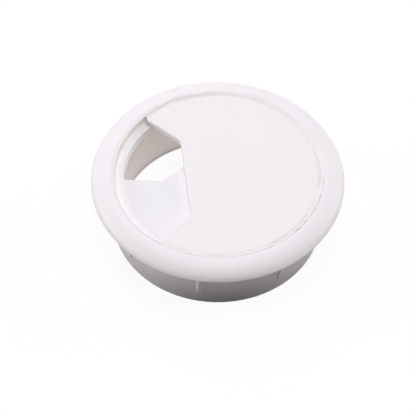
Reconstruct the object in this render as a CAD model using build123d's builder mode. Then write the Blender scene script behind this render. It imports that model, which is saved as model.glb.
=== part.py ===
"""Desk grommet for a 60 mm cable hole: a liner, a tray that drops into it and a cap that turns.

Sizes are in millimetres. +Z is up, out of the desk. The origin is on the turning axis, level
with the bottom edge of the liner's sleeve. Azimuths are in degrees, anticlockwise from +X.
"""

import os
from math import atan2, cos, degrees, radians, sin

from build123d import *

# The liner: a flange that rests on the desk, and the sleeve that lines the hole
sleeve_radius = 29.5  # over the straight pilot at the sleeve's bottom
sleeve_depth = 17.6  # from the desk's surface to the sleeve's bottom edge
sleeve_wall = 2.3  # at the pilot
sleeve_draft = 0.3  # how much wider the sleeve is where it meets the flange
pilot_length = 4.0  # straight stretch that starts the liner in its hole
pilot_chamfer = 0.3
bore_relief = 0.25  # the bore above its step is wider by this
bore_step_height = 7.8  # of that step, over the bottom edge
flange_reach = 5.5  # beyond the pilot's radius
flange_height = 3.2
crown_radius = 8.2  # of the flat upper part of the flange's crown
lip_chamfer = 0.25  # on the flange's inner top edge
recess_inset = 0.35  # the recess that holds the tray lies this far inside the pilot's radius
seat_reach = 1.55  # of the seat under the tray, inwards from the bore
seat_thickness = 1.2

# Crush ribs on the sleeve, which bite into the wall of the hole
rib_count = 8
rib_azimuth = 36.5
rib_radius = 1.0
rib_stand = 0.6  # proud of the pilot's radius
rib_root = 0.25  # how deep a rib runs into the sleeve's wall
rib_lead = 3.0  # length of the tapered lower end
rib_toe = 0.1  # how far that end still stands proud
rib_foot_gap = 0.1  # from the pilot to the ribs' lower ends

# The tray: a dished plate with a window for cables
tray_gap = 0.15  # all round, in the liner's recess
rim_wall = 0.6
rim_chamfer = 0.2
cove_size = 0.5  # of the slope where the rim meets the plate
plate_thickness = 1.35
window_azimuth = 133.0
window_show = 0.5  # the window's arc stands this far outside the liner's seat
window_margin = 0.3  # the window's straight sides stand this far inside the wedge
hub_wall = 2.5
hub_depth = 2.6  # below the plate
pad_wall = 4.0
stiffener_count = 6
stiffener_thickness = 1.2
stiffener_height = 1.5
stiffener_end_gap = 0.5  # to the liner's seat
key_width = 4.0
key_length = 3.2
key_gap = 0.2
key_offset = 120.0  # each side of the window, in degrees

# The wedge with a flat inner end that is cut from both the cap and the plate
wedge_setback = 8.9  # from the axis to the flat end
wedge_half_width = 12.35  # of the flat end
wedge_spread = 46.2  # between each side and the wedge's own axis, in degrees
wedge_corner = 1.5
wedge_tip = 0.8  # radius of the corners at the rim

# The cap and its split stem
cap_gap = 0.3  # between the cap's edge and the tray's rim
cap_drop = 0.4  # of the cap's top below the rim
cap_thickness = 2.0
cap_float = 0.3  # between the cap and the plate
cap_chamfer = 0.3
notch_azimuth = 188.6
turning_gap = 0.05  # between the cap and the pad that it turns on
stem_radius = 3.85
stem_gap = 0.1
stem_wall = 1.5
stem_slot = 1.2
barb_reach = 0.6
barb_height = 0.8
barb_gap = 0.15
barb_tip_height = 1.2
barb_tip_radius = 3.3

# Levels and radii that follow
desk_level = sleeve_depth
top_level = desk_level + flange_height
cap_top = top_level - cap_drop
cap_bottom = cap_top - cap_thickness
plate_top = cap_bottom - cap_float
plate_bottom = plate_top - plate_thickness
hub_bottom = plate_bottom - hub_depth
rib_foot = pilot_length + rib_foot_gap

flange_radius = sleeve_radius + flange_reach
bore_radius = sleeve_radius - sleeve_wall
relief_radius = bore_radius + bore_relief
recess_radius = sleeve_radius - recess_inset
crown_start = recess_radius + lip_chamfer
seat_radius = relief_radius - seat_reach
rib_tip_radius = sleeve_radius + rib_stand
tray_radius = recess_radius - tray_gap
rim_inner_radius = tray_radius - rim_wall
window_radius = seat_radius + window_show
cap_radius = rim_inner_radius - cap_gap
hub_hole_radius = stem_radius + stem_gap

# The crown is two tangent arcs: one flat at the flange's inner edge, one upright at its outer
crown_width = flange_radius - crown_start
crown_edge_radius = (crown_width**2 + flange_height**2 - 2 * crown_radius * flange_height) / (
    2 * (crown_width - crown_radius)
)
crown_turn = degrees(atan2(crown_radius - flange_height, crown_width - crown_edge_radius))


def level_plane(height, azimuth=0.0):
    """A horizontal plane at a height, with its X axis turned to an azimuth."""
    return Plane.XY.offset(height).rotated((0, 0, azimuth))


def wedge(margin):
    """The wedge about +X with its straight sides drawn in by a margin.

    It is long enough to pass the largest radius that it is cut to.
    """
    run = 2 * sleeve_radius
    along = cos(radians(wedge_spread))
    across = sin(radians(wedge_spread))
    inner = (wedge_setback + margin, wedge_half_width - margin * (1 - across) / along)
    outer = (inner[0] + run * along, inner[1] + run * across)
    with BuildSketch() as outline:
        with BuildLine():
            Polyline(
                inner,
                outer,
                (outer[0], -outer[1]),
                (inner[0], -inner[1]),
                close=True,
            )
        make_face()
    return outline.sketch


# Liner: the outer form and the bore are turned, then the ribs are added and the seat is keyed
with BuildPart() as liner:
    with BuildSketch(Plane.XZ):
        with BuildLine():
            crown_edge = CenterArc(
                (flange_radius - crown_edge_radius, desk_level),
                crown_edge_radius,
                start_angle=0,
                arc_size=crown_turn,
            )
            crown = CenterArc(
                (crown_start, top_level - crown_radius),
                crown_radius,
                start_angle=crown_turn,
                arc_size=90 - crown_turn,
            )
            Polyline(
                crown @ 1,
                (recess_radius, top_level - lip_chamfer),
                (recess_radius, plate_bottom),
                (seat_radius, plate_bottom),
                (seat_radius, plate_bottom - seat_thickness),
                (relief_radius, plate_bottom - seat_thickness - seat_reach),
                (relief_radius, bore_step_height),
                (bore_radius, bore_step_height - bore_relief),
                (bore_radius, 0),
                (sleeve_radius - pilot_chamfer, 0),
                (sleeve_radius, pilot_chamfer),
                (sleeve_radius, pilot_length),
                (sleeve_radius + sleeve_draft, desk_level),
                crown_edge @ 0,
            )
        make_face()
    revolve(axis=Axis.Z)

    # crush ribs, with their lower ends tapered to start in the hole
    with BuildSketch(level_plane(rib_foot, rib_azimuth)):
        with PolarLocations(rib_tip_radius - rib_radius, rib_count):
            Circle(rib_radius)
        Circle(sleeve_radius - rib_root, mode=Mode.SUBTRACT)
    extrude(amount=desk_level - rib_foot)
    with BuildSketch(Plane.XZ):
        with BuildLine():
            Polyline(
                (sleeve_radius + rib_toe, rib_foot),
                (rib_tip_radius, rib_foot + rib_lead),
                (flange_radius, rib_foot + rib_lead),
                (flange_radius, rib_foot),
                close=True,
            )
        make_face()
    revolve(axis=Axis.Z, mode=Mode.SUBTRACT)

    # notches in the seat, which keep the tray from turning
    for side in (-1, 1):
        with BuildSketch(level_plane(plate_bottom, window_azimuth + side * key_offset)):
            with Locations((seat_radius, 0)):
                Rectangle(2 * seat_reach, key_width + 2 * key_gap)
        extrude(amount=-(seat_thickness + seat_reach), mode=Mode.SUBTRACT)

# Tray: a dished plate with its window, and the hub that the cap's stem snaps into
with BuildPart() as insert_tray:
    with BuildSketch(Plane.XZ):
        with BuildLine():
            Polyline(
                (rim_inner_radius - cove_size, plate_top),
                (rim_inner_radius, plate_top + cove_size),
                (rim_inner_radius, top_level - rim_chamfer),
                (rim_inner_radius + rim_chamfer, top_level),
                (tray_radius - rim_chamfer, top_level),
                (tray_radius, top_level - rim_chamfer),
                (tray_radius, plate_bottom),
                (hub_hole_radius, plate_bottom),
                (hub_hole_radius, plate_top),
                close=True,
            )
        make_face()
    revolve(axis=Axis.Z)

    # stiffening ribs under the plate
    with BuildSketch(level_plane(plate_bottom, window_azimuth)):
        with PolarLocations(0, stiffener_count):
            Rectangle(
                seat_radius - stiffener_end_gap,
                stiffener_thickness,
                align=(Align.MIN, Align.CENTER),
            )
        Circle(hub_hole_radius, mode=Mode.SUBTRACT)
    extrude(amount=-stiffener_height)

    # keys that stand in the notches of the liner's seat
    for side in (-1, 1):
        with BuildSketch(level_plane(plate_bottom, window_azimuth + side * key_offset)):
            with Locations((relief_radius - key_gap, 0)):
                Rectangle(key_length, key_width, align=(Align.MAX, Align.CENTER))
        extrude(amount=-seat_thickness)

    # the window, which takes the stiffening ribs that cross it
    with BuildSketch(level_plane(plate_top, window_azimuth)) as window:
        Circle(window_radius)
        add(wedge(window_margin), mode=Mode.INTERSECT)
        from_axis = window.vertices().sort_by_distance((0, 0))
        fillet(from_axis[:2], wedge_corner)
        from_axis = window.vertices().sort_by_distance((0, 0))
        fillet(from_axis[-2:], wedge_tip)
    extrude(amount=-(plate_thickness + stiffener_height), mode=Mode.SUBTRACT)

    # hub, and the pad that the cap turns on
    with BuildSketch(Plane.XY.offset(hub_bottom)):
        Circle(hub_hole_radius + hub_wall)
        Circle(hub_hole_radius, mode=Mode.SUBTRACT)
    extrude(amount=hub_depth)
    with BuildSketch(Plane.XY.offset(plate_top)):
        Circle(hub_hole_radius + pad_wall)
        Circle(hub_hole_radius, mode=Mode.SUBTRACT)
    extrude(amount=cap_float - turning_gap)

# Cap: a notched disc, and a split stem with barbs under the hub
with BuildPart() as rotary_cap:
    with BuildSketch(level_plane(cap_bottom, notch_azimuth)) as disc:
        Circle(cap_radius)
        add(wedge(0.0), mode=Mode.SUBTRACT)
        from_axis = disc.vertices().sort_by_distance((0, 0))
        fillet(from_axis[:2], wedge_corner)
        from_axis = disc.vertices().sort_by_distance((0, 0))
        fillet(from_axis[-2:], wedge_tip)
    extrude(amount=cap_thickness)
    chamfer(rotary_cap.edges().group_by(Axis.Z)[-1], cap_chamfer)

    # the stem is turned with its barb, then slotted into four fingers
    barb_top = hub_bottom - barb_gap
    barb_bottom = barb_top - barb_height
    stem_tip = barb_bottom - barb_tip_height
    with BuildSketch(Plane.XZ):
        with BuildLine():
            Polyline(
                (stem_radius - stem_wall, cap_bottom),
                (stem_radius, cap_bottom),
                (stem_radius, barb_top),
                (stem_radius + barb_reach, barb_top),
                (stem_radius + barb_reach, barb_bottom),
                (barb_tip_radius, stem_tip),
                (stem_radius - stem_wall, stem_tip),
                close=True,
            )
        make_face()
    revolve(axis=Axis.Z)
    with BuildSketch(level_plane(stem_tip, notch_azimuth)):
        Rectangle(3 * stem_radius, stem_slot)
        Rectangle(stem_slot, 3 * stem_radius)
    extrude(amount=plate_top - stem_tip, mode=Mode.SUBTRACT)

liner.part.label = "liner"
insert_tray.part.label = "insert_tray"
rotary_cap.part.label = "rotary_cap"

os.makedirs("parts", exist_ok=True)
export_step(liner.part, "parts/liner.step")
export_step(insert_tray.part, "parts/insert_tray.step")
export_step(rotary_cap.part, "parts/rotary_cap.step")
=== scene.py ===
"""Dresses the packed desk grommet: liner, insert tray and rotary cap, moulded in white ABS.

Each piece is a closed skin, worked out with numpy from the piece's own section and outline, that
takes the place of the packed solid. Lengths are in metres, in the frame's axes: +Z out of the
desk, the origin on the turning axis at the bottom edge of the liner's sleeve. Azimuths run
anticlockwise from +X.
"""

from math import cos, pi, radians, sin, sqrt, tan

import bmesh
import bpy
import numpy as np
from bpy.props import FloatProperty, FloatVectorProperty, IntProperty, PointerProperty
from mathutils import Matrix, Vector


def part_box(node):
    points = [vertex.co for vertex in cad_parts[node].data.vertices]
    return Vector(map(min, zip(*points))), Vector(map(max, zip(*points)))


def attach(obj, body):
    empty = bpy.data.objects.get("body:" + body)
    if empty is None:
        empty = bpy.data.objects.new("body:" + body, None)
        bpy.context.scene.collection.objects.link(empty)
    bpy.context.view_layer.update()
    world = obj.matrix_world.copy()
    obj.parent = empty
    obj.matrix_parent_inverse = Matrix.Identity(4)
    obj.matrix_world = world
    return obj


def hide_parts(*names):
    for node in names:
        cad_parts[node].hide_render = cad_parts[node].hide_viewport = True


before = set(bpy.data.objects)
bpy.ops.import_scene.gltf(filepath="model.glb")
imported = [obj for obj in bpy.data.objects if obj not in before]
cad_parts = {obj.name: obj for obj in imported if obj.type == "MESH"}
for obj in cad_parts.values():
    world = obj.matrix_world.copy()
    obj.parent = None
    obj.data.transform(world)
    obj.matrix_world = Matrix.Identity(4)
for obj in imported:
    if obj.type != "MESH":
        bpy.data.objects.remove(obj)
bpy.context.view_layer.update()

bl_info = {
    "name": "Desk grommet",
    "version": (1, 0, 0),
    "blender": (4, 5, 0),
    "location": "3D View > Sidebar > Grommet",
    "description": "Builds a three-piece moulded cable grommet over its packed frame",
    "category": "Add Mesh",
}

MM = 0.001
_, LINER_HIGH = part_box("liner")
_, TRAY_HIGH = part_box("insert_tray")
CAP_LOW, CAP_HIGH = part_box("rotary_cap")

# radii of the small edges and corners
FINE, ROOT, SOFT, BROAD = 0.1 * MM, 0.15 * MM, 0.2 * MM, 0.3 * MM

# what keeps the meshes clean and their shading even
OUTLINE_STEP = 1.0 * MM  # longest run of an outline
SAME = 0.01 * MM  # radii this close are on the same wall
WELD = 0.0005 * MM  # points this close are made one
SLIVER = 0.0002 * MM  # edges this short are dissolved
SINK = 0.05 * MM  # how far a rib runs into the plate that it stands under
SHARP = radians(50)  # edges that turn by more than this are shaded sharp

# points along the round runs of the window, the disc, the plate, the bead and a stem's finger
WINDOW_RUN, DISC_RUN, PLATE_RUN, BEAD_RUN, FINGER_RUN = 41, 240, 150, 260, 25

WHITE = (1.0, 1.0, 1.0, 1.0)


# ---------------------------------------------------------------- sizes and colours


def length(name, millimetres, description):
    """A length property, given in millimetres and kept in metres."""
    return FloatProperty(
        name=name,
        description=description,
        default=millimetres * MM,
        min=0.0,
        unit="LENGTH",
        precision=5,
    )


def angle(name, degrees, description):
    """An angle property, given in degrees and kept in radians."""
    return FloatProperty(
        name=name, description=description, default=radians(degrees), subtype="ANGLE"
    )


def srgb(text):
    """Linear red, green and blue of an sRGB hex colour."""
    parts = np.array([int(text[i : i + 2], 16) for i in (1, 3, 5)]) / 255
    return tuple(np.where(parts <= 0.04045, parts / 12.92, ((parts + 0.055) / 1.055) ** 2.4))


def colour(name, text, description):
    """A colour property, given as an sRGB hex value and kept linear."""
    return FloatVectorProperty(
        name=name,
        description=description,
        default=srgb(text),
        size=3,
        min=0.0,
        max=1.0,
        subtype="COLOR",
    )


class WedgeSizes(bpy.types.PropertyGroup):
    """The wedge with a flat inner end that both the cap and the tray are cut to."""

    setback: length("Setback", 8.9, "From the axis to the flat inner end")
    half_width: length("Half width", 12.35, "Half the length of the flat inner end")
    spread: angle("Spread", 46.2, "Between each side and the wedge's own axis")
    corner: length("Inner corner", 1.5, "Radius of the two inner corners")
    tip: length("Outer corner", 0.8, "Radius of the two corners at the rim")
    margin: length("Window margin", 0.3, "How far the window lies inside the wedge")
    window_azimuth: angle("Window azimuth", 133.0, "Where the tray's window points")
    notch_azimuth: angle("Notch azimuth", 188.6, "Where the cap's notch points at rest")


class LinerSizes(bpy.types.PropertyGroup):
    """The flange, the sleeve under it and the seat inside it."""

    pilot_radius: length("Pilot radius", 29.5, "Outer radius of the sleeve's lower end")
    pilot_length: length("Pilot length", 4.0, "Straight stretch at the sleeve's lower end")
    draft: length("Draft", 0.3, "How much wider the sleeve is where it meets the flange")
    flange_height: length("Flange height", 3.2, "Of the crown over the desk's surface")
    crown_radius: length("Crown radius", 7.6, "Of the flat upper part of the crown")
    crown_tilt: angle("Crown tilt", 15.0, "Between the crown's outer edge and upright")
    recess_radius: length("Recess radius", 29.15, "Of the recess that takes the tray")
    seat_radius: length("Seat radius", 25.9, "Inner radius of the seat under the tray")
    seat_thickness: length("Seat thickness", 1.2, "Of the seat's inner edge")
    bore_radius: length("Bore radius", 27.2, "Inner radius of the sleeve's lower end")
    bore_relief: length("Bore step depth", 0.15, "How much narrower the bore is over its step")
    bore_step: length("Bore step", 5.6, "Height of that step over the bottom edge")
    lip_round: length("Lip radius", 0.12, "Of the flange's inner edge, beside the tray")
    seat_edge: length("Seat edge radius", 0.06, "Of the seat's upper inner edge")


class RibSizes(bpy.types.PropertyGroup):
    """The half-round crush ribs on the sleeve."""

    count: IntProperty(name="Count", description="Number of crush ribs", default=8, min=1)
    azimuth: angle("Azimuth", 36.5, "Of the first rib")
    radius: length("Rib radius", 1.0, "Of a rib's round section")
    stand: length("Stand", 0.6, "How far a rib stands proud of the pilot")
    toe: length("Toe", 0.1, "How far its lower end stands proud")
    foot: length("Foot", 4.1, "Height of its lower end over the bottom edge")
    lead: length("Lead-in", 3.0, "Length of its tapered lower end")


class TraySizes(bpy.types.PropertyGroup):
    """The dished plate with its rim, window and hub."""

    rim_radius: length("Rim radius", 28.4, "Inner radius of the rim")
    rim_round: length("Rim edge radius", 0.58, "Of the rim's inner top edge")
    seam: length("Seam", 0.02, "Between the rim and the liner's recess")
    seam_round: length("Seam edge radius", 0.04, "Of the rim's outer top edge")
    cove: length("Cove radius", 1.2, "Where the rim meets the plate")
    plate: length("Plate thickness", 1.35, "Of the plate")
    window_radius: length("Window radius", 26.1, "Of the window's arc")
    edge_round: length("Window edge radius", 0.3, "Of the window's top edge")
    under_round: length("Window lower edge radius", 0.06, "Of the window's lower edge")
    hole_radius: length("Hub bore", 3.95, "Radius of the hole in the hub")
    hub_wall: length("Hub wall", 2.5, "Thickness of the hub's wall")
    hub_depth: length("Hub depth", 2.6, "Of the hub below the plate")
    pad_wall: length("Pad width", 4.0, "Of the ring that the cap turns on")
    pad_height: length("Pad height", 0.25, "Of that ring over the plate")
    stiffener_count: IntProperty(
        name="Stiffeners", description="Number of ribs under the plate", default=6, min=0
    )
    stiffener_thickness: length("Stiffener thickness", 1.2, "Of a rib under the plate")
    stiffener_height: length("Stiffener height", 1.5, "Of a rib under the plate")
    stiffener_gap: length("Stiffener end gap", 0.5, "From a rib's end to the liner's seat")
    key_width: length("Key width", 4.0, "Of a key in the liner's seat")
    key_length: length("Key length", 3.2, "Of a key, along the radius")
    key_gap: length("Key gap", 0.2, "Round a key in its notch")
    key_offset: angle("Key offset", 120.0, "From the window to a key, either side")


class CapSizes(bpy.types.PropertyGroup):
    """The notched disc and its split stem."""

    thickness: length("Thickness", 2.0, "Of the disc")
    float_gap: length("Float", 0.3, "Between the disc and the tray's plate")
    edge_round: length("Edge radius", 0.45, "Of the disc's top edge")
    under_round: length("Lower edge radius", 0.4, "Of the disc's lower edge")
    tip: length("Outer corner", 0.95, "Radius of the two corners of the notch at the rim")
    bead_root: length("Bead root", 0.43, "How far the bead starts inside the disc's edge")
    bead_gap: length("Bead gap", 0.02, "Between the bead and the tray's rim")
    bead_depth: length("Bead depth", 0.06, "Of the bead below the disc's top")
    bead_height: length("Bead height", 1.85, "Of the bead")
    bead_round: length("Bead lower radius", 0.8, "Of the bead's lower edge, over the tray's cove")
    bead_lift: length("Bead lift", 0.2, "How much higher the bead's outer edge is")
    bead_setback: length("Bead setback", 0.6, "From the notch's sides to the bead's ends")
    stem_radius: length("Stem radius", 3.85, "Of the stem in the hub")
    stem_wall: length("Stem wall", 1.5, "Thickness of the stem's fingers")
    slot: length("Slot", 1.2, "Between the stem's fingers")
    barb_reach: length("Barb reach", 0.6, "Of a barb under the hub")
    barb_height: length("Barb height", 0.8, "Of a barb's straight part")
    barb_gap: length("Barb gap", 0.15, "Between a barb and the hub")
    tip_radius: length("Tip radius", 3.3, "Of the stem's tapered end")
    finger_count: IntProperty(
        name="Fingers", description="Number of fingers of the stem", default=4, min=2
    )


class FinishColours(bpy.types.PropertyGroup):
    """The colours of the moulded plastic, of the light and shade painted on it, of what settles on
    it, and of the floor.
    """

    liner: colour("Liner", "#F4EEF3", "Moulded white ABS of the liner")
    tray: colour("Tray", "#F1EEF3", "Moulded white ABS of the tray")
    cap: colour("Cap", "#F2EDF1", "Moulded white ABS of the cap")
    # painted light: a lighter, warmer white painted into the shaded hollows and onto the cap's side
    # faces, standing in for light that comes through the thin walls
    painted_glow: colour("Groove", "#F9F4F2", "Of the plastic in the grooves, lit through its thin walls")
    # brown dust in the seam, and painted shade: the same brown darkens and warms shaded hollows by
    # the rim and along the cap's edge
    dust_and_shade: colour("Grime", "#9A6A45", "Brown dust that has settled in the seam")
    table: colour("Light table", "#FFF8E7", "Of the lit card under the sleeve")
    floor_near: colour("Near floor", "#231B15", "What the floor gives back beside the object")
    floor_far: colour("Far floor", "#DCD8D3", "What the floor gives back further out")


class StageSizes(bpy.types.PropertyGroup):
    """The floor, the lamps and the camera."""

    floor_radius: length("Floor radius", 3000.0, "Of the pale floor")
    near_radius: length("Near floor", 36.0, "Where the near floor's tone ends")
    far_radius: length("Far floor", 66.0, "Where the far floor's tone starts")
    table_radius: length("Light table radius", 25.6, "Of the lit card under the sleeve")
    table_level: FloatProperty(
        name="Light table", description="Level of the lit card under the sleeve", default=0.73
    )
    distance: length("Camera distance", 458.65, "From the centre of the flange's top")
    elevation: angle("Camera elevation", 51.41, "Above the desk's surface")
    aim_x: FloatProperty(
        name="Aim X", description="Where the camera aims", default=-2.456 * MM, unit="LENGTH"
    )
    aim_y: FloatProperty(
        name="Aim Y", description="Where the camera aims", default=-12.844 * MM, unit="LENGTH"
    )
    roll: angle("Camera roll", 0.777, "About the line of sight")
    lens: FloatProperty(name="Lens", description="Focal length in millimetres", default=144.26)
    level: FloatProperty(name="Lamps", description="Level of all the lamps", default=1.0)
    ambient: FloatProperty(name="Ambient", description="Strength of the world", default=0.0)
    glow: FloatProperty(
        name="Floor glow",
        description="How much of the floor that is seen shines white and takes no shadow",
        default=0.93,
    )


GROUPS = {
    "grommet_wedge": WedgeSizes,
    "grommet_liner": LinerSizes,
    "grommet_ribs": RibSizes,
    "grommet_tray": TraySizes,
    "grommet_cap": CapSizes,
    "grommet_colours": FinishColours,
    "grommet_stage": StageSizes,
}


# ---------------------------------------------------------------- outlines and sections


def arc(centre, radius, start, end, count):
    """count corners of radius 0 on an arc: centre + radius (cos a, sin a), a from start to end."""
    a = np.linspace(start, end, count)
    x, y = centre[0] + radius * np.cos(a), centre[1] + radius * np.sin(a)
    return np.stack([x, y, np.zeros(count)], -1)


def rounded(corners, steps=6):
    """A closed polygon of (x, y, r) corners, each rounded to its radius r.

    The arc at a corner p, between unit directions d and e to its neighbours, has its centre at
    p + (d + e) / |d + e| * r / sin(h), where h is half the angle between d and e, and starts and
    ends r / tan(h) from p. A corner of radius 0 stays a single point.
    """
    corners = np.array(corners, float)
    points, radii = corners[:, :2], corners[:, 2]
    before, after = np.roll(points, 1, 0) - points, np.roll(points, -1, 0) - points
    before /= np.linalg.norm(before, axis=1)[:, None]
    after /= np.linalg.norm(after, axis=1)[:, None]
    out = []
    for p, d, e, r in zip(points, before, after, radii):
        if r == 0:
            out.append(p[None])
            continue
        half = np.arccos(np.clip(d @ e, -1, 1)) / 2
        middle = (d + e) / np.linalg.norm(d + e)
        centre = p + middle * r / sin(half)
        start, end = p + d * r / tan(half) - centre, p + e * r / tan(half) - centre
        turn = np.arctan2(start[0] * end[1] - start[1] * end[0], start @ end)
        a = np.arctan2(start[1], start[0]) + np.linspace(0, turn, steps + 1)
        out.append(centre + r * np.stack([np.cos(a), np.sin(a)], -1))
    return np.concatenate(out)


def flanked(loop, margin, closed=True):
    """loop with two more points on each long run, margin from the run's ends.

    They keep the shading of a flat stretch from bleeding into the rounds at its ends.
    """
    nxt = np.roll(loop, -1, 0)
    run = nxt - loop
    size = np.linalg.norm(run, axis=1)
    long_run = size > 3 * margin
    if not closed:
        long_run[-1] = False
    unit = run / np.maximum(size, 1e-12)[:, None]
    first, last = loop + unit * margin, nxt - unit * margin
    stacked = np.stack([loop, first, last], 1).reshape(-1, loop.shape[1])
    keep = np.stack([np.ones(len(loop), bool), long_run, long_run], 1).reshape(-1)
    return stacked[keep]


def quarter_round(steps):
    """The two ways that a round of radius 1 moves: 1 - cos a and 1 - sin a, a from 0 to pi / 2."""
    a = np.linspace(0, pi / 2, steps + 1)
    return 1 - np.cos(a), 1 - np.sin(a)


def outward(loop):
    """Unit normals of a closed anticlockwise plan loop, pointing out of it."""
    run = np.roll(loop, -1, 0) - np.roll(loop, 1, 0)
    normal = np.stack([run[:, 1], -run[:, 0]], -1)
    return normal / np.linalg.norm(normal, axis=1)[:, None]


def denser(loop, spacing):
    """The closed loop with points added on its runs, so that none is longer than spacing."""
    run = np.roll(loop, -1, 0) - loop
    counts = np.maximum(np.ceil(np.linalg.norm(run, axis=1) / spacing), 1).astype(int)
    owner = np.repeat(np.arange(len(loop)), counts)
    share = (np.arange(len(owner)) - np.repeat(np.cumsum(counts) - counts, counts)) / counts[owner]
    return loop[owner] + run[owner] * share[:, None]


def turned(plan, azimuth):
    """Plan points turned about the axis: x' = x cos a - y sin a, y' = x sin a + y cos a."""
    c, s = cos(azimuth), sin(azimuth)
    return plan @ np.array([[c, s], [-s, c]])


def wedge_corners(wedge, radius, margin=0.0):
    """The wedge's inner and outer corner at +Y, where its side starts and meets a circle.

    Drawn in by a margin m, the inner corner is (setback + m, half_width - m (1 - sin s) / cos s),
    and t solves |inner + t (cos s, sin s)| = radius.
    """
    s, c = wedge.spread, wedge.setback + margin
    w = wedge.half_width - margin * (1 - sin(s)) / cos(s)
    b = c * cos(s) + w * sin(s)
    t = -b + sqrt(b * b - (c * c + w * w - radius * radius))
    return (c, w), (c + t * cos(s), w + t * sin(s))


# ---------------------------------------------------------------- meshes


def grid_faces(rows, columns, close_rows=False):
    """Quads of a grid of rows x columns points whose columns close on themselves.

    Face (i, j) joins points (i, j), (i, j + 1), (i + 1, j + 1) and (i + 1, j).
    """
    i = np.arange(rows if close_rows else rows - 1)[:, None]
    j = np.arange(columns)[None]
    k, m = (i + 1) % rows, (j + 1) % columns
    quads = [i * columns + j, i * columns + m, k * columns + m, k * columns + j]
    return np.stack(np.broadcast_arrays(*quads), -1).reshape(-1, 4)


def level_rows(loops, heights):
    """Plan loops of equal length, each at its own height, as one rows x columns x 3 array."""
    loops = np.asarray(loops, float)
    z = np.broadcast_to(np.asarray(heights, float)[:, None, None], loops.shape[:2] + (1,))
    return np.concatenate([loops, z], -1)


def ring_rows(section, azimuths):
    """A section of (radius, height) points turned to azimuths: (r cos a, r sin a, z).

    azimuths is one row for the whole section, or a row for each of its points.
    """
    r, z = section[:, :1], section[:, 1:]
    return np.stack(np.broadcast_arrays(r * np.cos(azimuths), r * np.sin(azimuths), z), -1)


class Skin:
    """Collects grids of points and their faces, and makes one closed mesh of them."""

    def __init__(self):
        self.points, self.faces, self.total = [], [], 0

    def add_grid(self, rows, close_rows=False):
        """Adds rows of points, each closed on itself, with faces from row to row."""
        self.faces += (grid_faces(*rows.shape[:2], close_rows) + self.total).tolist()
        self.points.append(rows.reshape(-1, 3))
        self.total += len(self.points[-1])

    def add_solid(self, rows):
        """Adds rows of points with faces from row to row, and one face over each end."""
        first, row = self.total, np.arange(rows.shape[1])
        self.add_grid(rows)
        self.faces += [(first + row[::-1]).tolist(), (self.total - len(row) + row).tolist()]

    def turn_last(self, count, azimuth):
        """Turns the points of the last count grids about the axis."""
        for k in range(len(self.points) - count, len(self.points)):
            plan, height = self.points[k][:, :2], self.points[k][:, 2:]
            self.points[k] = np.concatenate([turned(plan, azimuth), height], 1)

    def piece(self, name, body, node, material):
        """The mesh object, riding on its body in place of its CAD node."""
        mesh = bpy.data.meshes.new(name)
        mesh.from_pydata(np.concatenate(self.points), [], self.faces)
        shape = bmesh.new()
        shape.from_mesh(mesh)
        bmesh.ops.remove_doubles(shape, verts=shape.verts, dist=WELD)
        bmesh.ops.dissolve_degenerate(shape, edges=shape.edges, dist=SLIVER)
        bmesh.ops.recalc_face_normals(shape, faces=shape.faces)
        shape.to_mesh(mesh)
        shape.free()
        mesh.shade_smooth()
        mesh.set_sharp_from_angle(angle=SHARP)
        mesh.materials.append(material)
        obj = bpy.data.objects.new(name, mesh)
        bpy.context.scene.collection.objects.link(obj)
        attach(obj, body)
        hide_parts(node)


def add_slab(skin, outline, low, high, low_round, high_round, steps=5):
    """A flat solid with a rounded edge: its two flat sides are single many-sided faces.

    At an edge of radius e the outline moves in by e (1 - cos a) as the height changes by
    e sin a. One more loop lies a little inside each round, so that the flat side shades flat.
    """
    margin = 0.08 * MM
    rise, fall = quarter_round(steps)
    insets = np.r_[low_round + margin, low_round * fall, high_round * rise, high_round + margin]
    heights = np.r_[low, low + low_round * rise, high - high_round * fall, high]
    skin.add_solid(level_rows(outline - insets[:, None, None] * outward(outline), heights))


# ---------------------------------------------------------------- materials


def node(tree, kind, inputs=(), **settings):
    """Adds a node with its settings, and fills its inputs with values or with nodes' results."""
    made = tree.nodes.new(kind)
    for key, value in settings.items():
        setattr(made, key, value)
    for key, value in dict(inputs).items():
        shown = [i for i in made.inputs if i.name == key and i.enabled]
        socket = made.inputs[key] if isinstance(key, int) else shown[0]
        if isinstance(value, bpy.types.Node):
            value = result(value)
        if isinstance(value, bpy.types.NodeSocket):
            tree.links.new(value, socket)
        else:
            socket.default_value = value
    return made


def result(made):
    """The output that a node has in use: the first that its settings leave enabled."""
    return next(output for output in made.outputs if output.enabled)


def near_ring(tree, place, radius, height, reach):
    """1 near a circle about the axis, falling smoothly to 0 at reach from it.

    The distance is that of (radius of the point, its height) from (radius, height).
    """
    x, y, z = node(tree, "ShaderNodeSeparateXYZ", {0: place}).outputs
    flat = node(tree, "ShaderNodeCombineXYZ", {0: x, 1: y})
    away = node(tree, "ShaderNodeVectorMath", {0: flat}, operation="LENGTH")
    section = node(tree, "ShaderNodeCombineXYZ", {0: away, 1: z})
    circle = (radius, height, 0.0)
    off = node(tree, "ShaderNodeVectorMath", {0: section, 1: circle}, operation="DISTANCE")
    limits = {"Value": off, "From Min": reach, "From Max": reach / 2}
    return node(tree, "ShaderNodeMapRange", limits, interpolation_type="SMOOTHSTEP")


def towards(tree, place, azimuth, spread):
    """1 at an azimuth, falling smoothly to 0 at spread from it."""
    level = {0: place, 1: (1.0, 1.0, 0.0)}
    flat = node(tree, "ShaderNodeVectorMath", level, operation="MULTIPLY")
    unit = node(tree, "ShaderNodeVectorMath", {0: flat}, operation="NORMALIZE")
    way = (cos(azimuth), sin(azimuth), 0.0)
    along = node(tree, "ShaderNodeVectorMath", {0: unit, 1: way}, operation="DOT_PRODUCT")
    limits = {"Value": along, "From Min": cos(spread)}
    return node(tree, "ShaderNodeMapRange", limits, interpolation_type="SMOOTHSTEP")


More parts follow.
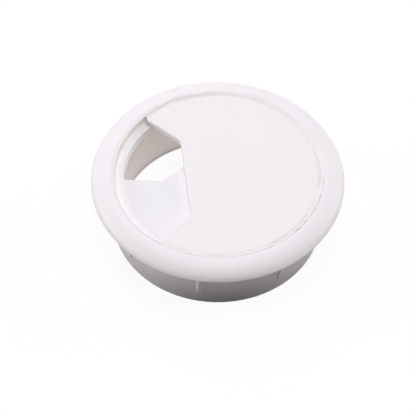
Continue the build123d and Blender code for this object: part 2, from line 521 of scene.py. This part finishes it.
def moulded_abs(name, base, colours, grooves=(), side=None, stains_and_shade=()):
    """Injection-moulded white ABS from a finely spark-eroded mould.

    The eye sees a satin white: a soft sheen with no sharp reflection, and light that goes a
    little way into the plastic, which fills its shadows. The hollows and the side faces are
    painted a lighter, warmer white: painted light, standing in for light that comes through the
    thin walls. A brown is painted in patches along the seam and the edges: dust in the seam,
    and painted shade in the hollows by the rim.

    grooves are (radius, height, reach) of the rings that are painted lighter and warmer. side is
    the height up to which a side face is painted so in full and the height where that ends.
    stains are as dusty makes them: dust, and painted shade.
    """
    material = bpy.data.materials.new(name)
    material.use_nodes = True
    tree = material.node_tree
    shader = tree.nodes["Principled BSDF"]
    typical = {
        "IOR": 1.54,
        "Specular IOR Level": 0.3,
        "Subsurface Weight": 0.1,
        "Subsurface Radius": (1.0, 1.0, 1.0),
        "Subsurface Scale": 0.5 * MM,
    }
    for socket, value in typical.items():
        shader.inputs[socket].default_value = value

    place = node(tree, "ShaderNodeTexCoord").outputs["Object"]
    # spark-eroded grain, drawn as coarse as it needs to be to show
    grain_width = 0.35 * MM
    fine = {"Vector": place, "Scale": 1 / grain_width, "Detail": 2.0}
    grain = node(tree, "ShaderNodeTexNoise", fine)
    # slow changes of tone, from the melt's flow
    flow_width = 12 * MM
    slow = {"Vector": place, "Scale": 1 / flow_width, "Detail": 1.0}
    flow = node(tree, "ShaderNodeTexNoise", slow)
    tone = node(tree, "ShaderNodeMapRange", {"Value": flow, "To Min": 0.985, "To Max": 1.0})

    # painted light: the rings in grooves and the side faces are tinted a lighter, warmer white
    layers = [(near_ring(tree, place, *ring), colours.painted_glow) for ring in grooves]
    if side:
        height = node(tree, "ShaderNodeSeparateXYZ", {0: place}).outputs[2]
        limits = {"Value": height, "From Min": side[1], "From Max": side[0]}
        share = node(tree, "ShaderNodeMapRange", limits, interpolation_type="SMOOTHSTEP")
        layers.append((share, colours.painted_glow))
    for *ring, azimuth, spread, streak, strength in stains_and_shade:
        # patches of dust and of painted shade, each about a streak long, over about half of the
        # surface
        patchy = {"Vector": place, "Scale": 1 / streak, "Detail": 2.0}
        patch = node(tree, "ShaderNodeTexNoise", patchy)
        limits = {"Value": patch, "From Min": 0.35, "From Max": 0.7, "To Max": strength}
        share = node(tree, "ShaderNodeMapRange", limits)
        for part in (near_ring(tree, place, *ring), towards(tree, place, azimuth, spread)):
            share = node(tree, "ShaderNodeMath", {0: share, 1: part}, operation="MULTIPLY")
        layers.append((share, colours.dust_and_shade))

    tint = (*base, 1.0)
    for share, over in layers:
        blend = {"Factor": share, "A": tint, "B": (*over, 1.0)}
        tint = node(tree, "ShaderNodeMix", blend, data_type="RGBA")
    blend = {"Factor": 1.0, "A": tint, "B": tone}
    plain = node(tree, "ShaderNodeMix", blend, data_type="RGBA", blend_type="MULTIPLY")
    rough = node(tree, "ShaderNodeMapRange", {"Value": grain, "To Min": 0.42, "To Max": 0.5})
    # the grain stands about 0.01 mm proud
    bump = node(tree, "ShaderNodeBump", {"Height": grain, "Strength": 0.15, "Distance": 0.01 * MM})
    for socket, made in (("Base Color", plain), ("Roughness", rough), ("Normal", bump)):
        tree.links.new(result(made), shader.inputs[socket])
    return material


# brown patches in the seam and on the cap's edge: the seam's first patch is dust; its others
# and those on the cap's edge are painted shade that darkens and warms the hollows by the rim.
# For each: how far it reaches from the edge in millimetres, its middle and half its run in
# degrees, the length of a streak in millimetres, and its strength
SEAM_DUST_AND_SHADE = (0.28, 330, 45, 3.0, 0.5), (0.4, 100, 60, 5.0, 0.14), (0.3, 265, 50, 0.8, 0.15)
EDGE_SHADE = (0.8, 315, 85, 8.0, 0.24), (0.8, 115, 80, 8.0, 0.16)


def dust_and_shade_along(radius, height, patches):
    """The patches of dust and of painted shade along a circle about the axis, in metres and
    radians.
    """
    return [
        (radius, height, reach * MM, radians(azimuth), radians(spread), streak * MM, strength)
        for reach, azimuth, spread, streak, strength in patches
    ]


def seam_dust_and_shade(liner):
    """The dust in the seam that the liner and the tray share, and the painted shade beside it."""
    return dust_and_shade_along(liner.recess_radius, LINER_HIGH.z, SEAM_DUST_AND_SHADE)


# ---------------------------------------------------------------- the pieces


def levels(scene):
    """Heights of the cap's lower face and of the top and bottom of the tray's plate."""
    low = CAP_HIGH.z - scene.grommet_cap.thickness
    plate_top = low - scene.grommet_cap.float_gap
    return low, plate_top, plate_top - scene.grommet_tray.plate


def liner_section(liner, plate_bottom):
    """The liner's closed section, from the recess's top edge round to it again, clockwise.

    The crown is two arcs that meet tangentially: one of crown_radius R, flat at the flange's
    inner edge, and one of radius e that stands t from upright at its outer edge. With the crown
    a wide and R - b high, they are tangent where
    e = (a a + b b - R R) / (2 (a cos t + b sin t - R)).
    """
    top, flange = LINER_HIGH.z, LINER_HIGH.x
    desk = top - liner.flange_height
    start = liner.recess_radius + liner.lip_round
    big, tilt = liner.crown_radius, liner.crown_tilt
    a, b = flange - start, big - liner.flange_height
    small = (a * a + b * b - big * big) / (2 * (a * cos(tilt) + b * sin(tilt) - big))
    inner = small * np.array([cos(tilt), sin(tilt)])
    meet = np.arctan2(b - inner[1], a - inner[0])
    bore = liner.bore_radius - liner.bore_relief
    seat_low = plate_bottom - liner.seat_thickness
    return rounded(
        [
            *arc((start, top - big), big, pi / 2, meet, 24),
            *arc((flange, desk) - inner, small, meet, tilt, 14)[1:],
            (liner.pilot_radius + liner.draft, desk, ROOT),
            (liner.pilot_radius, liner.pilot_length, 0.0),
            (liner.pilot_radius, 0.0, ROOT),
            (liner.bore_radius, 0.0, ROOT),
            (liner.bore_radius, liner.bore_step - 0.3 * MM, FINE),
            (bore, liner.bore_step, FINE),
            (bore, seat_low - (bore - liner.seat_radius), BROAD),
            (liner.seat_radius, seat_low, SOFT),
            (liner.seat_radius, plate_bottom, liner.seat_edge),
            (liner.recess_radius, plate_bottom, ROOT),
            (liner.recess_radius, top, liner.lip_round),
        ]
    )


def tapered_rows(section, liner, ribs):
    """The liner's section with more points on the sleeve, from just below a rib's toe to its top.

    The sleeve's wall is a straight line from the pilot's upper end to the flange.
    """
    height = ribs.foot + np.linspace(ribs.lead, -0.02 * MM, 14)
    rise = LINER_HIGH.z - liner.flange_height - liner.pilot_length
    radius = liner.pilot_radius + liner.draft * (height - liner.pilot_length) / rise
    wall = section[:, 0] > liner.pilot_radius - SAME
    last = np.flatnonzero(wall & (section[:, 1] > ribs.foot + ribs.lead))[-1]
    return np.insert(section, last + 1, np.stack([radius, height], -1), axis=0)


def over_ribs(radius, height, azimuths, liner, ribs):
    """Radii of the sleeve's wall, raised where a rib stands on it.

    At an angle f from its azimuth, a rib of radius q about a circle of radius c reaches out to
    c cos f + sqrt(q q - c c sin f sin f). Over its lead-in it keeps inside a ramp from its toe.
    """
    spacing = 2 * pi / ribs.count
    off = (azimuths - ribs.azimuth + spacing / 2) % spacing - spacing / 2
    centre = liner.pilot_radius + ribs.stand - ribs.radius
    inside = ribs.radius**2 - (centre * np.sin(off)) ** 2
    bulge = centre * np.cos(off) + np.sqrt(np.maximum(inside, 0))
    bulge = np.where(inside > 0, bulge, 0)
    ramp = liner.pilot_radius + ribs.toe
    ramp = ramp + (ribs.stand - ribs.toe) * (height - ribs.foot) / ribs.lead
    on_wall = (
        (radius > liner.pilot_radius - SAME)
        & (radius < liner.pilot_radius + liner.draft + SAME)
        & (height >= ribs.foot - WELD)
        & (height <= LINER_HIGH.z - liner.flange_height + WELD)
    )
    return np.where(on_wall, np.maximum(radius, np.minimum(bulge, ramp)), radius)


class GROMMET_OT_liner(bpy.types.Operator):
    """Make the liner: the domed flange, the ribbed sleeve and the seat inside it."""

    bl_idname = "grommet.liner"
    bl_label = "Liner"

    def execute(self, context):
        scene = context.scene
        liner, ribs, tray = scene.grommet_liner, scene.grommet_ribs, scene.grommet_tray
        section = flanked(liner_section(liner, levels(scene)[2]), margin=0.15 * MM)
        section = tapered_rows(section, liner, ribs)

        # a column at each degree, and closer ones over the ribs and beside the keys' notches
        rib_at = ribs.azimuth + 2 * pi / ribs.count * np.arange(ribs.count)
        key_at = scene.grommet_wedge.window_azimuth + np.array([-1, 1]) * tray.key_offset
        key_half = (tray.key_width / 2 + tray.key_gap) / liner.seat_radius
        beside = key_half * np.array([-1.002, -0.998, 0.998, 1.002])
        azimuths = np.r_[
            radians(1) * np.arange(360),
            np.add.outer(rib_at, radians(0.2) * np.arange(-12, 13)).ravel(),
            np.add.outer(key_at, beside).ravel(),
        ]
        azimuths = np.unique(np.round(azimuths % (2 * pi), 6))

        radius, height = section[:, :1], section[:, 1:]
        reach = over_ribs(radius, height, azimuths, liner, ribs)
        # the seat stands back to the bore at each key's notch
        away = np.abs((azimuths[:, None] - key_at + pi) % (2 * pi) - pi).min(1)
        bore = liner.bore_radius - liner.bore_relief
        on_seat = (radius < bore) & (height > liner.bore_step + 1 * MM)
        reach = np.where(on_seat & (away < key_half), bore, reach)
        rows = ring_rows(section, azimuths)
        rows[..., 0], rows[..., 1] = reach * np.cos(azimuths), reach * np.sin(azimuths)

        skin = Skin()
        skin.add_grid(rows, close_rows=True)
        colours = scene.grommet_colours
        # the liner's finish carries the seam's dust and the painted shade beside it
        finish = moulded_abs("moulded_abs_liner", colours.liner, colours, stains_and_shade=seam_dust_and_shade(liner))
        skin.piece("liner_skin", "liner", "liner", finish)
        return {"FINISHED"}


def window_outline(wedge, radius):
    """The window's closed outline about +X, anticlockwise: flat end, sides and arc.

    The arc keeps clear of its end corners, so that their rounds have a straight run each side.
    """
    (c, w), (x, y) = wedge_corners(wedge, radius, wedge.margin)
    reach = np.arctan2(y, x) - 2 * wedge.corner / radius
    flat_end = [(c, w, wedge.corner), (c, -w, wedge.corner)]
    round_end = arc((0, 0), radius, -reach, reach, WINDOW_RUN)
    corners = [*flat_end, (x, -y, wedge.tip), *round_end, (x, y, wedge.tip)]
    return denser(rounded(corners), OUTLINE_STEP)


def plate_rows(loop, heights, section, azimuths):
    """Rows from a loop on the plate's top, round a turned section, to the same loop below."""
    above, below = level_rows([loop, loop], heights)
    return np.stack([above, *ring_rows(section, azimuths), below])


class GROMMET_OT_tray(bpy.types.Operator):
    """Make the insert tray: rim, plate, window, hub, stiffening ribs and keys."""

    bl_idname = "grommet.tray"
    bl_label = "Insert tray"

    def execute(self, context):
        scene = context.scene
        tray, wedge, liner = scene.grommet_tray, scene.grommet_wedge, scene.grommet_liner
        top, rim = TRAY_HIGH.z, liner.recess_radius - tray.seam
        _, plate_top, plate_bottom = levels(scene)
        margin = 0.12 * MM

        # the window's edge: its outline, carried round a rounded step in the plate
        outline = window_outline(wedge, tray.window_radius)
        e, f = tray.edge_round, tray.under_round
        rise, fall = quarter_round(steps=5)
        offsets = np.r_[e + margin, e * fall, f * rise, f + margin, e + margin]
        heights = np.r_[
            plate_top, plate_top - e * rise, plate_bottom + f * fall, plate_bottom, plate_bottom
        ]
        loops = outline + offsets[:, None, None] * outward(outline)
        skin = Skin()
        skin.add_grid(level_rows(loops, heights))

        # the plate is two rings that share a circle through the window's widest points
        edge = loops[0]
        polar = np.arctan2(edge[:, 1], edge[:, 0])
        left, right = int(np.argmax(polar)), int(np.argmin(polar))
        n = len(edge)
        # anticlockwise from left to right is the flat end, and from right to left the arc
        flat_run = edge[(left + np.arange((right - left) % n + 1)) % n]
        arc_run = edge[(right + np.arange((left - right) % n + 1)) % n]
        shared = np.hypot(*edge[left])
        around = np.linspace(polar[left], 2 * pi + polar[right], PLATE_RUN)[1:-1]
        rest = shared * np.stack([np.cos(around), np.sin(around)], -1)
        inner_loop = np.concatenate([flat_run[::-1], rest])
        outer_loop = np.concatenate([arc_run, rest])

        inner_at = np.unwrap(np.arctan2(inner_loop[:, 1], inner_loop[:, 0]))
        hub = tray.hole_radius + tray.hub_wall
        pad = tray.hole_radius + tray.pad_wall
        pad_top, hub_low = plate_top + tray.pad_height, plate_bottom - tray.hub_depth
        core = rounded(
            [
                (pad, plate_top, 0.0),
                (pad, pad_top, FINE),
                (tray.hole_radius, pad_top, FINE),
                (tray.hole_radius, hub_low, SOFT),
                (hub, hub_low, BROAD),
                (hub, plate_bottom, 0.0),
            ]
        )
        core = flanked(core, margin=0.1 * MM, closed=False)
        skin.add_grid(plate_rows(inner_loop, (plate_top, plate_bottom), core, inner_at))

        # the outer ring's azimuths keep a least spacing where the window's sides run outwards
        outer_at = np.unwrap(np.arctan2(outer_loop[:, 1], outer_loop[:, 0]))
        steps = np.maximum(np.diff(np.append(outer_at, outer_at[0] + 2 * pi)), radians(0.15))
        steps *= 2 * pi / steps.sum()
        outer_at = np.r_[0, np.cumsum(steps[:-1])]
        outer_at -= outer_at[len(arc_run) // 2]
        foot = tray.rim_radius - tray.cove
        shell = rounded(
            [
                (foot - margin, plate_top, 0.0),
                *arc((foot, plate_top + tray.cove), tray.cove, -pi / 2, 0, 9),
                (tray.rim_radius, top, tray.rim_round),
                (rim, top, tray.seam_round),
                (rim, plate_bottom, SOFT),
                (liner.bore_radius, plate_bottom, 0.0),
            ]
        )
        shell = flanked(shell, margin, closed=False)
        skin.add_grid(plate_rows(outer_loop, (plate_top, plate_bottom), shell, outer_at))
        skin.turn_last(3, wedge.window_azimuth)

        step = 2 * pi / max(tray.stiffener_count, 1)
        for k in range(tray.stiffener_count):
            inner = hub - 0.3 * MM  # inside the hub's wall
            outer = liner.seat_radius - tray.stiffener_gap if k else wedge.setback
            add_bar(
                skin,
                wedge.window_azimuth + k * step,
                (inner, outer),
                tray.stiffener_thickness,
                (plate_bottom - tray.stiffener_height, plate_bottom + SINK),
            )
        reach = liner.bore_radius - liner.bore_relief - tray.key_gap
        for side in (-1, 1):
            add_bar(
                skin,
                wedge.window_azimuth + side * tray.key_offset,
                (reach - tray.key_length, reach),
                tray.key_width,
                (plate_bottom - liner.seat_thickness, plate_bottom + SINK),
            )
        colours = scene.grommet_colours
        finish = moulded_abs(
            "moulded_abs_tray",
            colours.tray,
            colours,
            # painted light: the cove and the rim's inner wall are painted a lighter, warmer white
            grooves=[
                (tray.rim_radius, top - 0.8 * MM, 1.2 * MM),
                (tray.rim_radius, plate_top + 0.5 * MM, 1.3 * MM),
            ],
            # dust in the seam, and painted shade beside it
            stains_and_shade=seam_dust_and_shade(liner),
        )
        skin.piece("insert_tray_skin", "insert", "insert_tray", finish)
        return {"FINISHED"}


def add_bar(skin, azimuth, along, width, heights):
    """A bar along the radius at an azimuth, with its lower edges and upright edges rounded."""
    (start, end), half = along, width / 2
    corners = [(start, -half, SOFT), (end, -half, SOFT), (end, half, SOFT), (start, half, SOFT)]
    outline = denser(rounded(corners, steps=3), 2 * OUTLINE_STEP)
    add_slab(skin, outline, *heights, low_round=SOFT, high_round=0.02 * MM, steps=3)
    skin.turn_last(1, azimuth)


def cap_outline(wedge, radius, tip):
    """The disc's closed outline about the notch's own +X, anticlockwise, with its notch."""
    (c, w), (x, y) = wedge_corners(wedge, radius)
    reach = np.arctan2(y, x) + 2 * wedge.corner / radius
    disc = arc((0, 0), radius, reach, 2 * pi - reach, DISC_RUN)
    flat_end = [(c, -w, wedge.corner), (c, w, wedge.corner)]
    return denser(rounded([(x, y, tip), *disc, (x, -y, tip), *flat_end]), OUTLINE_STEP)


class GROMMET_OT_cap(bpy.types.Operator):
    """Make the rotary cap: the notched disc and its split stem."""

    bl_idname = "grommet.cap"
    bl_label = "Rotary cap"

    def execute(self, context):
        scene = context.scene
        cap, wedge, tray = scene.grommet_cap, scene.grommet_wedge, scene.grommet_tray
        radius, top = CAP_HIGH.x, CAP_HIGH.z
        low, _, plate_bottom = levels(scene)
        outline = turned(cap_outline(wedge, radius, cap.tip), wedge.notch_azimuth)
        skin = Skin()
        add_slab(skin, outline, low, top, cap.under_round, cap.edge_round)

        # the bead that closes most of the gap round the disc, its ends along the notch's sides
        root, crest = radius - cap.bead_root, top - cap.bead_depth
        foot = crest - cap.bead_height
        # its lip follows the rim's round, a gap away from it
        over = (tray.rim_radius + tray.rim_round, TRAY_HIGH.z - tray.rim_round)
        reach = tray.rim_round + cap.bead_gap
        lip = arc(over, reach, pi, pi - np.arcsin((crest + cap.bead_lift - over[1]) / reach), 6)
        bottom = (tray.rim_radius - cap.bead_gap, foot, cap.bead_round)
        bead = rounded([(root, crest, 0.0), (root, foot, 0.0), bottom, *lip], steps=5)
        ends = np.array([wedge_corners(wedge, r, -cap.bead_setback)[1] for r in bead[:, 0]])
        start = np.arctan2(ends[:, 1:], ends[:, :1])
        a = wedge.notch_azimuth + start + np.linspace(0, 1, BEAD_RUN) * 2 * (pi - start)
        skin.add_solid(ring_rows(bead, a).transpose(1, 0, 2))

        # the stem's fingers: the section turned between slots of even width
        barb = cap.stem_radius + cap.barb_reach
        barb_top = plate_bottom - tray.hub_depth - cap.barb_gap
        bore, inside = cap.stem_radius - cap.stem_wall, low + 0.1 * MM
        section = rounded(
            [
                (bore, inside, 0.0),
                (bore, CAP_LOW.z, FINE),
                (cap.tip_radius, CAP_LOW.z, SOFT),
                (barb, barb_top - cap.barb_height, ROOT),
                (barb, barb_top, FINE),
                (cap.stem_radius, barb_top, FINE),
                (cap.stem_radius, inside, 0.0),
            ],
            steps=4,
        )
        section = flanked(section, margin=0.1 * MM)
        gap = np.arcsin(cap.slot / 2 / section[:, :1])
        step = 2 * pi / cap.finger_count
        share = np.linspace(0, 1, FINGER_RUN)
        for k in range(cap.finger_count):
            a = wedge.notch_azimuth + k * step + gap + share * (step - 2 * gap)
            skin.add_solid(ring_rows(section, a).transpose(1, 0, 2))
        colours = scene.grommet_colours
        finish = moulded_abs(
            "moulded_abs_cap",
            colours.cap,
            colours,
            # painted light: the disc's side faces, its lower face and the stem are painted a
            # lighter, warmer white, up to just below its top
            side=(low + 0.5 * MM, top - 0.15 * MM),
            # painted shade: brown patches that darken and warm the disc's edge and its bead
            stains_and_shade=dust_and_shade_along(radius + 0.2 * MM, top, EDGE_SHADE),
        )
        skin.piece("rotary_cap_skin", "cap", "rotary_cap", finish)
        return {"FINISHED"}


# ---------------------------------------------------------------- the stage


def area_lamp(name, level, size, distance, azimuth, elevation):
    """A square soft lamp that faces the origin.

    At level 1 a white surface that faces the lamp looks white: a lamp of power P makes a white
    matt surface at distance d look P / (pi pi d d) bright.
    """
    data = bpy.data.lights.new(name, "AREA")
    data.shape = "SQUARE"
    data.size = size
    data.energy = level * (pi * distance) ** 2
    obj = bpy.data.objects.new(name, data)
    bpy.context.scene.collection.objects.link(obj)
    azimuth, elevation = radians(azimuth), radians(elevation)
    obj.location = distance * Vector(
        (cos(azimuth) * cos(elevation), sin(azimuth) * cos(elevation), sin(elevation))
    )
    obj.rotation_euler = (-obj.location).to_track_quat("-Z", "Y").to_euler()


def seen_directly(tree):
    """1 where a surface is seen by the eye, in a mirror or through glass, and 0 for its light."""
    path = node(tree, "ShaderNodeLightPath")
    seen = path.outputs["Is Camera Ray"]
    for ray in ("Is Glossy Ray", "Is Transmission Ray"):
        seen = node(tree, "ShaderNodeMath", {0: seen, 1: path.outputs[ray]}, operation="MAXIMUM")
    return seen


class GROMMET_OT_stage(bpy.types.Operator):
    """Set up the pale floor, the soft lamps, the world and the camera."""

    bl_idname = "grommet.stage"
    bl_label = "Stage"

    def execute(self, context):
        scene = context.scene
        stage = scene.grommet_stage

        sides = 72
        mesh = bpy.data.meshes.new("pale_floor")
        edge = np.array([[stage.floor_radius, 0.0]])
        ring = ring_rows(edge, 2 * pi / sides * np.arange(sides))[0]
        mesh.from_pydata(ring, [], [list(range(sides))])
        floor = bpy.data.objects.new("pale_floor", mesh)
        scene.collection.objects.link(floor)
        paper = bpy.data.materials.new("white_paper")
        paper.use_nodes = True
        tree = paper.node_tree
        tree.nodes.clear()
        # white card: seen white with the object's soft shadow, but giving back less light
        white = node(tree, "ShaderNodeBsdfDiffuse", {"Color": WHITE})
        glow = node(tree, "ShaderNodeEmission", {"Color": WHITE, "Strength": 1.0})
        seen = node(tree, "ShaderNodeMixShader", {0: stage.glow, 1: white, 2: glow})
        place = node(tree, "ShaderNodeTexCoord").outputs["Object"]
        away = node(tree, "ShaderNodeVectorMath", {0: place}, operation="LENGTH")
        limits = {"Value": away, "From Min": stage.near_radius, "From Max": stage.far_radius}
        share = node(tree, "ShaderNodeMapRange", limits)
        colours = scene.grommet_colours
        near, far = (*colours.floor_near, 1.0), (*colours.floor_far, 1.0)
        tone = node(tree, "ShaderNodeMix", {"Factor": share, "A": near, "B": far}, data_type="RGBA")
        card = node(tree, "ShaderNodeBsdfDiffuse", {"Color": tone})
        # the card is lit from below where the sleeve stands round it
        lit = {"Color": (*colours.table, 1.0), "Strength": stage.table_level}
        table = node(tree, "ShaderNodeEmission", lit)
        circle = {0: away, 1: stage.table_radius}
        under = node(tree, "ShaderNodeMath", circle, operation="LESS_THAN")
        given = node(tree, "ShaderNodeMixShader", {0: under, 1: card, 2: table})
        both = node(tree, "ShaderNodeMixShader", {0: seen_directly(tree), 1: given, 2: seen})
        node(tree, "ShaderNodeOutputMaterial", {"Surface": both})
        mesh.materials.append(paper)

        world = bpy.data.worlds.new("studio")
        scene.world = world
        world.use_nodes = True
        tree = world.node_tree
        tree.nodes.clear()
        room = node(tree, "ShaderNodeBackground", {"Color": WHITE, "Strength": stage.ambient})
        bright = node(tree, "ShaderNodeBackground", {"Color": WHITE, "Strength": 1.0})
        both = node(tree, "ShaderNodeMixShader", {0: seen_directly(tree), 1: room, 2: bright})
        node(tree, "ShaderNodeOutputWorld", {"Surface": both})

        # level, width, distance, azimuth and elevation of each lamp
        lamps = {
            "top_lamp": (0.224, 0.5, 1.0, 90, 78),
            "front_lamp": (0.26, 0.3, 1.0, 280, 78),
            "back_lamp": (0.217, 0.5, 1.0, 110, 40),
            "right_lamp": (0.137, 0.4, 1.0, 350, 60),
            "low_left_lamp": (0.46, 0.5, 1.0, 177, 20),
            "low_right_lamp": (0.337, 0.5, 1.0, 20, 21),
            "low_front_lamp": (0.04, 0.5, 1.0, 270, 25),
        }
        for name, (level, *place) in lamps.items():
            area_lamp(name, level * stage.level, *place)

        data = bpy.data.cameras.new("view")
        data.sensor_width = 36.0
        data.lens = stage.lens
        data.clip_start = 0.01
        camera = bpy.data.objects.new("view", data)
        scene.collection.objects.link(camera)
        place = Vector(
            (
                0.0,
                -stage.distance * cos(stage.elevation),
                LINER_HIGH.z + stage.distance * sin(stage.elevation),
            )
        )
        aim = Vector((stage.aim_x, stage.aim_y, LINER_HIGH.z))
        turn = (aim - place).to_track_quat("-Z", "Y").to_matrix().to_4x4()
        camera.matrix_world = (
            Matrix.Translation(place) @ turn @ Matrix.Rotation(stage.roll, 4, "Z")
        )
        scene.camera = camera
        scene.view_settings.view_transform = "Standard"
        return {"FINISHED"}


# ---------------------------------------------------------------- panel and start


class GROMMET_PT_panel(bpy.types.Panel):
    """Lists the pieces and their sizes."""

    bl_label = "Desk grommet"
    bl_idname = "GROMMET_PT_panel"
    bl_space_type = "VIEW_3D"
    bl_region_type = "UI"
    bl_category = "Grommet"

    def draw(self, context):
        for operator in OPERATORS:
            self.layout.operator(operator.bl_idname)
        for key, group in GROUPS.items():
            box = self.layout.box()
            box.label(text=group.__doc__)
            for name in group.__annotations__:
                box.prop(getattr(context.scene, key), name)


OPERATORS = (GROMMET_OT_stage, GROMMET_OT_liner, GROMMET_OT_tray, GROMMET_OT_cap)


def register():
    """Adds the sizes to the scene, and the operators and their panel to Blender."""
    for cls in (*GROUPS.values(), *OPERATORS, GROMMET_PT_panel):
        bpy.utils.register_class(cls)
    for key, group in GROUPS.items():
        setattr(bpy.types.Scene, key, PointerProperty(type=group))


def unregister():
    """Takes away what register adds."""
    for key in GROUPS:
        delattr(bpy.types.Scene, key)
    for cls in reversed((*GROUPS.values(), *OPERATORS, GROMMET_PT_panel)):
        bpy.utils.unregister_class(cls)


def main():
    """Makes the stage and each piece."""
    register()
    for operator in OPERATORS:
        call = getattr(bpy.ops.grommet, operator.bl_idname.split(".")[1])
        if call() != {"FINISHED"}:
            raise RuntimeError(f"{operator.bl_label} didn't finish")


if __name__ == "__main__":
    main()
